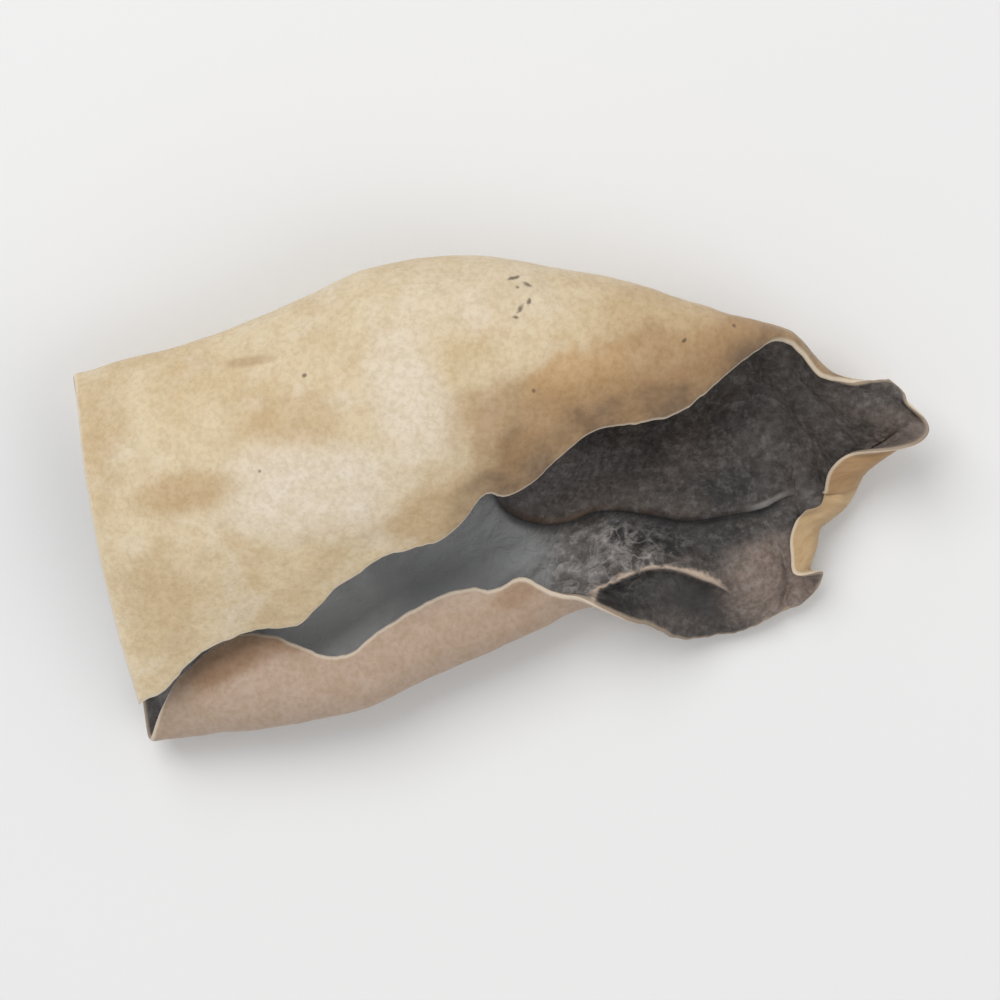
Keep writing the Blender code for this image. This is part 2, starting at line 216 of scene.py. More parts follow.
# Patches of each skin, as (middle x, y on the rails, mm), (radii, mm), turn in degrees and strength.
OUTER_PATCHES = [
    # Painted highlight: a bright band low on the flap, a tall light streak and a lighter crest.
    (CREAM_WHITE_AND_PAINTED_HIGHLIGHT, [((-19.0, 1.5), (9.0, 4.4), 8, 0.85), ((-9.0, 10.5), (3.5, 7.0), 20, 0.8),
                   ((-3.0, 20.0), (9.0, 3.5), 0, 0.35)]),
    (CREAM_OCHRE, [((-31.5, 0.8), (4.8, 1.9), 12, 0.95), ((-20.5, 8.2), (5.0, 2.6), 0, 0.6),
                   ((-34.5, -11.0), (3.6, 6.0), 10, 0.5), ((-39.5, 8.0), (2.6, 4.0), 0, 0.4),
                   ((-7.0, -1.0), (4.4, 2.4), 30, 0.8), ((17.0, 17.5), (9.0, 3.6), -16, 0.9),
                   ((33.5, -2.5), (6.0, 5.5), 0, 1.0)]),
    (ORANGE, [((1.5, 9.6), (6.5, 3.0), 20, 0.75), ((11.0, 12.6), (7.5, 3.2), 18, 0.65),
              ((22.0, 14.8), (6.0, 2.2), 18, 0.75), ((-25.0, 13.6), (2.4, 0.5), 8, 0.45),
              ((40.0, 5.2), (4.8, 4.6), 0, 1.0), ((34.5, -1.5), (4.0, 4.5), 20, 0.45)]),
    (AMBER, [((7.8, 13.2), (5.0, 2.0), 12, 0.6)]),
    # Darker brown patches along the flap's edge.
    (EDGE_DARK_BROWN, [((0.9, 5.0), (1.5, 2.7), -12, 1.0), ((-1.4, 2.2), (2.2, 1.4), 30, 0.5),
             ((8.0, 8.2), (7.0, 1.5), 30, 0.55), ((20.5, 12.6), (8.0, 2.6), 28, 0.55),
             ((13.4, 9.4), (4.2, 1.9), 30, 1.0)]),
]
BAND_PATCHES = [((-27.5, -16.2), (5.8, 1.7), 28, 0.8), ((-21.0, -14.4), (2.8, 1.0), -8, 0.6),
                ((1.5, -9.4), (2.2, 1.2), 20, 0.55), ((0.0, -12.5), (8.0, 2.5), 25, 0.15)]
# Painted light: pale grey over the black face's hollow, paler at its shaded left end.
PAINTED_LIGHT_PATCHES = [
    (PAINTED_GREY_LIGHT, [((-14.0, -9.0), (19.0, 10.0), 22, 1.0), ((0.6, -4.8), (4.2, 4.0), 20, 0.9)]),
    (PAINTED_PALE_LIGHT, [((-17.5, -13.0), (7.0, 4.5), 30, 0.9)]),
]
FACE_PATCHES = [
    # Bloom patches: real bloom over the wrinkles, then painted light on the lobe near the flap's edge.
    (BLOOM_AND_PAINTED_LIGHT, [((9.0, -6.0), (6.0, 3.2), 18, 0.45), ((5.8, 2.2), (6.4, 2.4), 20, 0.65)]),
    # Painted shadow: near-black patches under the lobe's edge and on the lobe.
    (PAINTED_SHADOW, [((16.6, -3.9), (6.2, 2.1), -6, 0.95), ((23.2, 1.2), (5.5, 2.4), 8, 0.7),
            ((23.0, -3.6), (3.4, 1.5), 0, 0.45)]),
    (PINK_BROWN, [((28.4, -8.8), (5.2, 4.0), 0, 0.9), ((28.8, -5.4), (3.4, 2.2), 20, 0.6),
                  ((41.5, 6.6), (3.0, 3.0), 0, 0.5)]),
]

ANY_HEIGHT = 1e6  # mm; the radius of a patch in z, so that its height doesn't matter

# Dark pits of the felt: place, radii in mm, and turn in degrees.
PITS = [((1.3, 21.9), (0.60, 0.16), 15), ((2.5, 21.2), (0.42, 0.16), -30), ((1.6, 20.9), (0.20, 0.14), 0),
        ((1.9, 18.9), (0.42, 0.20), 60), ((2.7, 19.6), (0.34, 0.16), 70), ((1.5, 18.1), (0.24, 0.18), 0),
        ((-19.3, 12.4), (0.26, 0.20), 20), ((18.2, 16.0), (0.26, 0.12), 40)]
# The felt's small pits, one in some of the cells that fill it: the cells' size in mm, a pit's radii in cells
# where it ends and where it is full, and the same for the cell's own random number.
PIT_CELL, PIT_RADII, PIT_CHANCE = 3.4, (0.075, 0.030), (0.84, 0.86)

# Clouds and specks of colour: the size in mm, detail and roughness of their noise, which goes from about 0.3
# to 0.7, and the two values of it between which they grow.
WARM_CLOUDS = (11.0, 3, 0.55, 0.40, 0.62)
WHITE_CLOUDS = (6.0, 3, 0.55, 0.52, 0.72)
EDGE_CLOUDS = (5.0, 4, 0.55, 0.30, 0.62)
FELT_MOTTLE = (2.2, 4, 0.55, 0.34, 0.66)
FELT_FIBRES = (0.55, 4, 0.65, 0.32, 0.62)
BROWN_CLOUDS = (6.0, 5, 0.55, 0.40, 0.62)
BLOOM_SPECKS = (1.4, 5, 0.65, 0.50, 0.70)
CRUMPLED_BLOOM = (1.7, 6, 0.75, 0.46, 0.60)
FACE_MOTTLE = (0.7, 5, 0.70, 0.32, 0.66)
RIM_CLOUDS = (2.5, 4, 0.55, 0.35, 0.60)
DULL_CLOUDS = (2.2, 4, 0.55, 0.30, 0.70)

# Where colours fade, each as two distances in mm: where the colour is absent, and where it is full.
# In x on the rails:
EDGE_TONE_STARTS, EDGE_TONE_ENDS = (-9.0, 2.0), (44.0, 30.0)
BAND_ENDS = (31.0, 27.0)
RIM_BROWN_ENDS, RIM_PALE_STARTS = (20.0, 11.0), (24.5, 27.0)
# Round the roll from the flap's edge, the first two wandering by up to the third value in mm, and the band
# from the rim:
ORANGE_WIDTH, BROWN_WIDTH, EDGE_TONE_WANDER = (10.5, 4.0), (4.4, 0.8), 12.0
PITS_WITHIN = (29.0, 25.0)
BAND_WIDTH = (22.0, 14.0)
# In from a margin, on the felt and on the black face:
FELT_MARGIN, FACE_MARGIN = (0.50, 0.15), (0.50, 0.10)
# Past the lobe's edge, for its top, the shade below it and its rim:
LOBE_TOP = (-0.2, 0.1)
SHADE_STARTS, SHADE_ENDS = (-1.6, 0.0), (0.2, 0.0)
RIM_STARTS, RIM_ENDS = (0.0, 0.15), (0.9, 0.4)
# Past the ridge's crest, for the painted shadow in the hollow and for the pale crest, whose far side wanders:
HOLLOW_SHADOW_STARTS, HOLLOW_SHADOW_ENDS = (-0.1, -0.7), (-6.0, -3.0)
CREST_STARTS, CREST_ENDS, CREST_WANDER = (-0.35, -0.10), (0.50, 0.05), 2.4
CREST_STRENGTH = (0.05, 0.6)  # the strengths of the ridge between which its crest turns pale
THREAD_WIDTH = (0.045, 0.012)  # how far from 0.5 the noise is where a thread of bloom ends and is full

# The studio: sizes in metres, each light as name, place, size and watts.
FLOOR_SIZE, FLOOR_COLOUR = 4.0, (0.80, 0.80, 0.80)
WORLD_STRENGTH = 0.50
LIGHTS = [("key", (-0.25, 0.35, 0.60), 0.5, 3.1), ("fill", (0.35, -0.25, 0.50), 0.5, 1.0)]
LENS, SENSOR = 135.0, 36.0  # mm
CLIP_START = 0.01  # m
PICTURE_SHARE = 0.86  # of the picture's width that the ear takes


def spline(values, at):
    """The natural cubic spline through values, one for each whole number, read at the numbers in at."""
    values = np.asarray(values, float)
    count = len(values)
    system = 4 * np.eye(count) + np.eye(count, k=1) + np.eye(count, k=-1)
    system[0, :2] = (1, 0)
    system[-1, -2:] = (0, 1)
    right = np.zeros_like(values)
    right[1:-1] = 6 * (values[2:] - 2 * values[1:-1] + values[:-2])
    bend = np.linalg.solve(system, right.reshape(count, -1)).reshape(values.shape)
    low = np.clip(np.floor(at).astype(int), 0, count - 2)
    ahead = (at - low).reshape((-1,) + (1,) * (values.ndim - 1))
    behind = 1 - ahead
    straight = behind * values[low] + ahead * values[low + 1]
    return straight + ((behind**3 - behind) * bend[low] + (ahead**3 - ahead) * bend[low + 1]) / 6


def smoothstep(x):
    """0 up to 0, 1 from 1 on, and smooth between them."""
    x = np.clip(x, 0, 1)
    return x * x * (3 - 2 * x)


def noise(points, size, seed):
    """Smooth noise from about -1 to 1 at each point, with bumps about size mm across."""
    offset = mathutils.Vector([step * seed for step in SEED_STEP])
    values = [mathutils.noise.noise(mathutils.Vector(p) + offset) for p in points.reshape(-1, 3) / size]
    return np.array(values).reshape(points.shape[:-1])


def line_noise(x, size, seed):
    """The same noise along a line."""
    return noise(np.stack([x, 0 * x, 0 * x], axis=-1), size, seed)


def line_y(line, x):
    """The y of a line of (x, y) points at each x, with its corners rounded."""
    return sum(np.interp(x + aside, *zip(*line)) for aside in ROUNDING) / len(ROUNDING)


def reach(scallops, rail_points, at, seed):
    """How much further out the free edge reaches at the stations in at."""
    x = spline(np.array(rail_points)[:, 0], at)
    ragged = sum(height * line_noise(x, size, seed + k) for k, (size, height) in enumerate(RAGGED))
    return line_y(scallops, x) + ragged


def fold_place(section, length, line):
    """How far along a section it meets a fold's line, or comes nearest to it, in mm."""
    beyond = np.argmax(section[:, 1])
    past = section[beyond:, 1] - line_y(line, section[beyond:, 0])
    if past.min() >= 0:
        return length[beyond + np.argmin(past)]
    after = np.argmax(past < 0)
    share = past[after - 1] / (past[after - 1] - past[after])
    return length[beyond + after - 1] + share * (length[beyond + after] - length[beyond + after - 1])


def resampled(section, start, end, cells, fold_lines):
    """cells + 1 points along a section, from start mm in to end mm short of its end, crowded at bends."""
    first_step = section[0] - section[1]
    last_step = section[-1] - section[-2]
    section = np.concatenate([[section[0] + first_step * STRAIGHT_ON / np.linalg.norm(first_step)], section,
                              [section[-1] + last_step * STRAIGHT_ON / np.linalg.norm(last_step)]])
    steps = np.diff(section, axis=0)
    lengths = np.linalg.norm(steps, axis=1)
    directions = steps / lengths[:, None]
    turns = np.arccos(np.clip((directions[1:] * directions[:-1]).sum(axis=1), -1, 1))
    length = np.concatenate([[0], np.cumsum(lengths)])
    first = STRAIGHT_ON + start
    last = length[-1] - STRAIGHT_ON - end
    fine = np.linspace(first, last, PLACE_SAMPLES)
    bends = BEND_LENGTH * np.interp(fine, length, np.concatenate([[0, 0], np.cumsum(turns)]))
    edges = np.exp((fine - last) / CROWD_WIDTH) - np.exp((first - fine) / CROWD_WIDTH)
    measure = fine + bends + CROWD * CROWD_WIDTH * edges
    for line in fold_lines:
        from_fold = fine - fold_place(section, length, line)
        measure += FOLD_CROWD * FOLD_CROWD_WIDTH * np.tanh(from_fold / FOLD_CROWD_WIDTH)
    at = np.interp(np.linspace(measure[0], measure[-1], cells + 1), measure, fine)
    return np.stack([np.interp(at, length, section[:, k]) for k in range(3)], axis=1)


def row_places(cells):
    """Where the rows stand from the cut end (0) to the frilled end (1), crowded at both and in the frill."""
    fine = np.linspace(0, 1, ROW_SAMPLES)
    density = 1 + FRILL_CROWD * smoothstep((fine - FRILL_FROM) / FRILL_OVER)
    density += CUT_CROWD * np.exp(-fine / END_SHARE) + MARGIN_CROWD * np.exp((fine - 1) / END_SHARE)
    measure = np.concatenate([[0], np.cumsum(density[:-1])])
    return np.interp(np.linspace(0, measure[-1], cells + 1), measure, fine)


def scroll(along, round_cells):
    """The middle of the flesh: rows of points round the scroll, one row for each number in along (0 to 1)."""
    rails = np.array(list(RAILS.values())).transpose(1, 0, 2)
    at = along * (len(rails) - 1)
    stations = spline(rails, at)
    fine = np.linspace(0, stations.shape[1] - 1, SECTION_SAMPLES)
    sections = spline(stations.transpose(1, 0, 2), fine).transpose(1, 0, 2)
    flap = reach(FLAP_SCALLOPS, RAILS["flap_edge"], at, FLAP_SEED)
    rim = reach(RIM_SCALLOPS, RAILS["rim"], at, RIM_SEED)
    lines = (LOBE_LINE, RIDGE_LINE)
    return np.array([resampled(s, -f, -r, round_cells, lines) for s, f, r in zip(sections, flap, rim)])


def normals(grid):
    """The way out through the cream face at each point of the grid."""
    crossed = np.cross(np.gradient(grid, axis=0), np.gradient(grid, axis=1))
    return crossed / np.linalg.norm(crossed, axis=2, keepdims=True)


def travelled(grid, axis):
    """The length of sheet from the grid's first row or column to each point, in mm."""
    steps = np.linalg.norm(np.diff(grid, axis=axis), axis=2)
    return np.concatenate([np.zeros_like(np.take(steps, [0], axis)), np.cumsum(steps, axis=axis)], axis=axis)


def lower_layer(grid):
    """Which points are past the crest, where the black face looks up."""
    return np.cumsum(normals(grid)[:, :, 2] < 0, axis=1) > 0


def ends(x, start, end, length):
    """1 between start and end, falling smoothly to 0 there over a length."""
    return smoothstep((x - start) / length) * smoothstep((end - x) / length)


def folds(grid):
    """How far past the lobe's edge and the ridge's crest each point is, in mm, and each fold's strength."""
    x, y = grid[:, :, 0], grid[:, :, 1]
    layer = lower_layer(grid)
    past_lobe = y - line_y(LOBE_LINE, x)
    past_ridge = y - line_y(RIDGE_LINE, x)
    lobe = layer * ends(x, LOBE_FROM, LOBE_TO, LOBE_FADE)
    ridge = layer * ends(x, RIDGE_FROM, RIDGE_TO, RIDGE_FADE)
    return past_lobe, lobe, past_ridge, ridge


def lobed(grid):
    """The grid with the broad rise of the lobe, which the whole sheet makes."""
    past_lobe, lobe, _, _ = folds(grid)
    raised = grid.copy()
    rise = smoothstep(past_lobe / SHEET_STEP + 0.5) * smoothstep((LOBE_WIDTH - past_lobe) / LOBE_WIDTH)
    raised[:, :, 2] += SHEET_SHARE * LOBE_HEIGHT * lobe * rise
    return raised


def face_folds(grid):
    """How much higher than the sheet the black face stands at its lobe and at its ridge, in mm."""
    past_lobe, lobe, past_ridge, ridge = folds(grid)
    lip = np.sqrt(1 - np.clip(1 - past_lobe / LOBE_LIP, 0, 1) ** 2)
    broad = SHEET_SHARE * smoothstep(past_lobe / SHEET_STEP + 0.5)
    fall = smoothstep((LOBE_WIDTH - past_lobe) / LOBE_WIDTH)
    crest = smoothstep(1 - past_ridge / RIDGE_WIDTH) * (past_ridge > 0)
    drop = np.clip(-past_ridge, 0, None)
    near = np.sqrt(1 - np.clip(drop / HOLLOW_STEP, 0, 1) ** 2) * (past_ridge <= 0)
    hollow = smoothstep(drop / HOLLOW_STEP) * smoothstep(1 - drop / HOLLOW_WIDTH)
    raised = LOBE_HEIGHT * lobe * (lip - broad) * fall
    return raised + ridge * (RIDGE_HEIGHT * (crest + near) - HOLLOW_DEPTH * hollow)


def wrinkles(grid):
    """The black face's thin wandering wrinkles at each point, and how wrinkled it is there, from 0 to 1."""
    wander = np.stack([noise(grid, 2 * WRINKLE_SIZE, seed) for seed in WANDER_SEEDS], axis=-1)
    lines = 1 - np.abs(noise(grid + WRINKLE_WANDER * wander, WRINKLE_SIZE, WRINKLE_SEED)) / WRINKLE_WIDTH
    (x, y), (wide, deep) = WRINKLED
    far = np.hypot((grid[:, :, 0] - x) / wide, (grid[:, :, 1] - y) / deep)
    wrinkled = WRINKLED_ELSEWHERE + (1 - WRINKLED_ELSEWHERE) * smoothstep(WRINKLED_REACH - far)
    return smoothstep(lines), lower_layer(grid) * wrinkled


def frilled(grid, along):
    """The grid with waves that grow towards the free end, none of them lower than the flat of the back."""
    way = travelled(grid, 1)
    along = along[:, None]
    free = smoothstep(way / CALM_WIDTH) * smoothstep(RIM_STIRS + (way[:, -1:] - way) / CALM_WIDTH)
    swell = SWELL * smoothstep((along - SWELL_START) / (1 - SWELL_START))
    ripple = RIPPLE * smoothstep((along - RIPPLE_START) / (1 - RIPPLE_START))
    waves = swell * np.sin(2 * math.pi * way / SWELL_WAVE + SWELL_DRIFT * along)
    waves += ripple * np.sin(2 * math.pi * way / RIPPLE_WAVE + RIPPLE_DRIFT * along)
    waved = grid + normals(grid) * (free * waves)[:, :, None]
    height = waved[:, :, 2]
    waved[:, :, 2] = np.where(height < SOFT_FLOOR, SOFT_FLOOR * np.exp(height / SOFT_FLOOR - 1), height)
    return waved


def undulated(grid):
    """The grid with the broad, shallow swells and dents of a sheet that dried unevenly."""
    swells = sum(height * noise(grid, size, seed) for size, height, seed in UNDULATIONS)
    swells *= smoothstep(np.linalg.norm(grid - grid[-1, -1], axis=2) / CORNER_WIDTH)
    return grid + normals(grid) * swells[:, :, None]


def evened(directions):
    """Directions, one a column, each averaged with its neighbours, and of length 1."""
    weights = np.hanning(2 * SMOOTH_COLUMNS + 3)[1:-1]
    padded = np.pad(directions, ((SMOOTH_COLUMNS, SMOOTH_COLUMNS), (0, 0)), mode="edge")
    even = np.stack([np.convolve(padded[:, k], weights, mode="valid") for k in range(3)], axis=1)
    return even / np.linalg.norm(even, axis=1, keepdims=True)


def curled(grid):
    """The grid with its frilled margin curled up and over in a few places, so that its outside shows."""
    to_margin = travelled(grid, 0)
    to_margin = to_margin[-1:] - to_margin
    turned = line_y(CURL_TURNS, grid[-1, :, 1]) * (grid[-1, :, 0] > CURLS_FROM_X)
    starts = line_y(CURL_STARTS, grid[-1, :, 1])
    lengths = line_y(CURL_LENGTHS, grid[-1, :, 1])
    roots = np.array([[np.interp(-start, -away, points[:, k]) for k in range(3)]
                      for start, away, points in zip(starts, to_margin.T, grid.transpose(1, 0, 2))])
    first = (to_margin > starts).sum(axis=0)
    inward = -normals(grid)[first, np.arange(grid.shape[1])]
    ahead = evened(grid[-1] - roots)
    up = evened(inward)
    up = evened(up - ahead * (up * ahead).sum(axis=1, keepdims=True))
    bent_grid = grid.copy()
    for column in np.flatnonzero(turned > LEAST_TURN):
        rows = slice(first[column], None)
        on = (starts[column] - to_margin[rows, column])[:, None]
        curl_on = on * lengths[column] / starts[column]
        radius = CURL_BENDS * lengths[column] / turned[column]
        angle = np.minimum(curl_on / radius, turned[column])
        straight = curl_on - angle * radius
        forward = radius * np.sin(angle) + straight * np.cos(angle)
        upward = radius * (1 - np.cos(angle)) + straight * np.sin(angle)
        uneven = grid[rows, column] - roots[column] - on * ahead[column]
        settled = smoothstep(turned[column] / CURL_SETTLES) * smoothstep(on / CURL_SETTLES)
        keep = 1 - (1 - CURL_KEEPS) * settled
        bent = forward * ahead[column] + upward * up[column]
        bent_grid[rows, column] = roots[column] + bent + keep * uneven
    return bent_grid


def build_grid():
    """The middle of the flesh before the frilled margin curls, and after."""
    along = row_places(LONG_CELLS)
    flat = undulated(frilled(lobed(scroll(along, ROUND_CELLS)), along))
    return flat, curled(flat)


def half_thickness(grid):
    """Half the flesh's thickness at each point, in mm: thinner near the margins, and nothing at the edge."""
    round_way = travelled(grid, 1)
    along_way = travelled(grid, 0)
    to_sides = np.minimum(round_way, round_way[:, -1:] - round_way)
    to_margin = np.minimum(to_sides, np.minimum(along_way, along_way[-1:] - along_way))
    thinned = EDGE_SHARE + (1 - EDGE_SHARE) * smoothstep(to_margin / EDGE_WIDTH)
    rounded = np.sqrt(1 - np.clip(1 - to_margin / EDGE_ROUND, 0, 1) ** 2)
    return THICKNESS / 2 * thinned * rounded, to_margin


def skins(flat, grid):
    """The two skins' points with their relief, each point's distance from a margin, and its wrinkles."""
    half, to_margin = half_thickness(grid)
    out = normals(grid)
    in_curl = smoothstep(np.linalg.norm(grid - flat, axis=2) / CURL_MOVES)
    half = half * (1 - CURL_THIN * in_curl)
    away = smoothstep(to_margin / EDGE_PLAIN) * (1 - CURL_SMOOTH * in_curl)
    felt = sum(height * noise(flat, size, seed) for size, height, seed in FELT_RELIEF)
    uneven = sum(height * noise(flat, size, seed) for size, height, seed in FACE_RELIEF)
    lines, wrinkled = wrinkles(flat)
    outer = grid + out * (half + felt * away)[:, :, None]
    inner = grid - out * (half + (uneven + WRINKLE_HEIGHT * lines * wrinkled) * away)[:, :, None]
    inner[:, :, 2] += face_folds(flat) * away
    return outer, inner, {"margin": to_margin, "wrinkle": lines * wrinkled, "wrinkled": wrinkled}


def closed_quads(rows, columns):
    """The quads of the outer and the inner skin, which share their margins, and the points that they use."""
    outer_at = np.arange(rows * columns).reshape(rows, columns)
    inner_at = outer_at + rows * columns
    inner_at[0], inner_at[-1] = outer_at[0], outer_at[-1]
    inner_at[:, 0], inner_at[:, -1] = outer_at[:, 0], outer_at[:, -1]
    faces = []
    for at, flip in ((outer_at, False), (inner_at, True)):
        quads = np.stack([at[:-1, :-1], at[1:, :-1], at[1:, 1:], at[:-1, 1:]], axis=-1).reshape(-1, 4)
        faces.append(quads[:, ::-1] if flip else quads)
    used, quads = np.unique(np.concatenate(faces).ravel(), return_inverse=True)
    return quads.reshape(-1, 4), used


def in_node_box(points):
    """The points in mm moved to the middle of the node's box, and down to its lower face, in metres."""
    low, high = points.min(axis=0), points.max(axis=0)
    node_low, node_high = (np.array(corner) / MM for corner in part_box(NODE))
    shift = (node_low + node_high) / 2 - (low + high) / 2
    shift[2] = node_low[2] - low[2]
    return (points + shift) * MM


def ear_mesh():
    """The ear's closed mesh, with the attributes that its materials read."""
    flat, grid = build_grid()
    outer, inner, measures = skins(flat, grid)
    quads, used = closed_quads(*grid.shape[:2])
    points = np.concatenate([outer.reshape(-1, 3), inner.reshape(-1, 3)])[used]
    mesh = bpy.data.meshes.new("wood_ear_skin")
    mesh.from_pydata(in_node_box(points).tolist(), [], quads.tolist())
    mesh.polygons.foreach_set("material_index", np.repeat([0, 1], len(quads) // 2).astype(np.int32))
    mesh.shade_smooth()

    past_lobe, lobe, past_ridge, ridge = folds(flat)
    round_way = travelled(grid, 1)
    measures |= {"flap": round_way, "rim": round_way[:, -1:] - round_way,
                 "past_lobe": past_lobe, "lobe": lobe, "past_ridge": past_ridge, "ridge": ridge}
    for name, values in measures.items():
        add_attribute(mesh, name, "FLOAT", np.tile(values.ravel(), 2)[used])
    add_attribute(mesh, "rails", "FLOAT_VECTOR", np.tile(flat.reshape(-1, 3), (2, 1))[used])
    return mesh


def add_attribute(mesh, name, kind, values):
    """Gives the mesh a value, or a vector, for each point."""
    layer = mesh.attributes.new(name, kind, "POINT")
    field = "vector" if kind == "FLOAT_VECTOR" else "value"
    layer.data.foreach_set(field, np.asarray(values, np.float32).ravel())


# ---------------------------------------------------------------- materials


def new_material(name):
    """A material's node tree and its Principled shader."""
    made = bpy.data.materials.new(name)
    made.use_nodes = True
    return made, made.node_tree, made.node_tree.nodes["Principled BSDF"]


def node(tree, kind, inputs=(), **settings):
    """A new node of a kind, with its settings, and with its inputs either linked or set."""
    made = tree.nodes.new(kind)
    for name, value in settings.items():
        setattr(made, name, value)
    for name, value in dict(inputs).items():
        if isinstance(value, bpy.types.NodeSocket):
            tree.links.new(value, made.inputs[name])
        else:
            made.inputs[name].default_value = value
    return made


def attribute(tree, name):
    """One of the mesh's values."""
    return node(tree, "ShaderNodeAttribute", attribute_name=name).outputs["Fac"]


def rails_place(tree):
    """The place on the rails, in mm, before the margin curls."""
    return node(tree, "ShaderNodeAttribute", attribute_name="rails").outputs["Vector"]


def rails_x(tree):
    """The x of that place."""
    return node(tree, "ShaderNodeSeparateXYZ", {"Vector": rails_place(tree)}).outputs["X"]


def maths(tree, operation, a, b=0.0):
    """The result of an operation on one or two sockets or numbers."""
    return node(tree, "ShaderNodeMath", {0: a, 1: b}, operation=operation).outputs[0]


def fade(tree, value, start, end, least=0.0, most=1.0):
    """least where value is at start, most where it is at end, and smooth between them."""
    low, high, first, last = (start, end, least, most) if start < end else (end, start, most, least)
    inputs = {"Value": value, "From Min": low, "From Max": high, "To Min": first, "To Max": last}
    return node(tree, "ShaderNodeMapRange", inputs, interpolation_type="SMOOTHSTEP").outputs["Result"]


def grain(tree, size, detail=4.0, roughness=0.55, distortion=0.0):
    """Noise in the flesh, about 0.3 to 0.7, whose bumps are size mm across."""
    inputs = {"Vector": rails_place(tree), "Scale": 1 / size, "Detail": detail, "Roughness": roughness,
              "Distortion": distortion}
    return node(tree, "ShaderNodeTexNoise", inputs).outputs["Fac"]


def clouds(tree, size, detail, roughness, start, end, least=0.0, most=1.0):
    """Clouds of such grain, which grow from least to most between two of its values."""
    return fade(tree, grain(tree, size, detail, roughness), start, end, least, most)


def swing(tree, size, spread):
    """Grain that swings about 0, and would spread this far if it went from 0 to 1."""
    return product(tree, maths(tree, "SUBTRACT", grain(tree, size), 0.5), spread)


def product(tree, *shares):
    """The product of several sockets or numbers."""
    result = shares[0]
    for share in shares[1:]:
        result = maths(tree, "MULTIPLY", result, share)
    return result


def blend(tree, share, below, above, kind="MIX"):
    """The colour above laid over the colour below by share."""
    made = node(tree, "ShaderNodeMix", data_type="RGBA", blend_type=kind)
    for name, value in (("Factor", share), ("A", below), ("B", above)):
        socket = [s for s in made.inputs if s.name == name and (name == "Factor" or s.type == "RGBA")][0]
        if isinstance(value, bpy.types.NodeSocket):
            tree.links.new(value, socket)
        else:
            socket.default_value = value if name == "Factor" else (*value, 1.0)
    return [s for s in made.outputs if s.type == "RGBA"][0]


def laid(tree, colour, shade, *shares):
    """The colour with a shade laid over it by the product of the shares."""
    return blend(tree, product(tree, *shares), colour, shade)


def patch(tree, middle, radii, turn, softness=0.5, ragged=1.0, size=3.0):
    """A soft ragged-edged patch, seen from above, at middle (x, y) on the rails, with these radii in mm."""
    inputs = {"Vector": rails_place(tree), "Location": (*middle, 0.0),
              "Rotation": (0.0, 0.0, math.radians(turn)), "Scale": (*radii, ANY_HEIGHT)}
    place = node(tree, "ShaderNodeMapping", inputs, vector_type="TEXTURE").outputs["Vector"]
    distance = node(tree, "ShaderNodeVectorMath", {0: place}, operation="LENGTH").outputs["Value"]
    rough = maths(tree, "ADD", distance, swing(tree, size, ragged))
    return fade(tree, rough, 1 + softness, 1 - softness)


def patched(tree, colour, patches, within=1.0):
    """The colour with a list of patches laid over it."""
    for shade, places in patches:
        for middle, radii, turn, strength in places:
            colour = laid(tree, colour, shade, patch(tree, middle, radii, turn), strength, within)
    return colour


def tinted(tree, colour, share, dark, light=(1.0, 1.0, 1.0)):
    """The colour times a tint that goes from dark to light with share."""
    return blend(tree, 1.0, colour, blend(tree, share, dark, light), "MULTIPLY")


def finished(tree, shader, colour, relief, strength, depth):
    """Gives the shader its colour, and bumps of relief that are depth metres deep."""
    tree.links.new(colour, shader.inputs["Base Color"])
    bumps = node(tree, "ShaderNodeBump", {"Height": relief, "Strength": strength, "Distance": depth})
    tree.links.new(bumps.outputs["Normal"], shader.inputs["Normal"])


def small_pits(tree):
    """Small round pits, one in some of the cells that fill the felt."""
    cells = node(tree, "ShaderNodeTexVoronoi", {"Vector": rails_place(tree), "Scale": 1 / PIT_CELL})
    chance = node(tree, "ShaderNodeSeparateColor", {"Color": cells.outputs["Color"]}).outputs["Red"]
    return product(tree, fade(tree, cells.outputs["Distance"], *PIT_RADII), fade(tree, chance, *PIT_CHANCE))


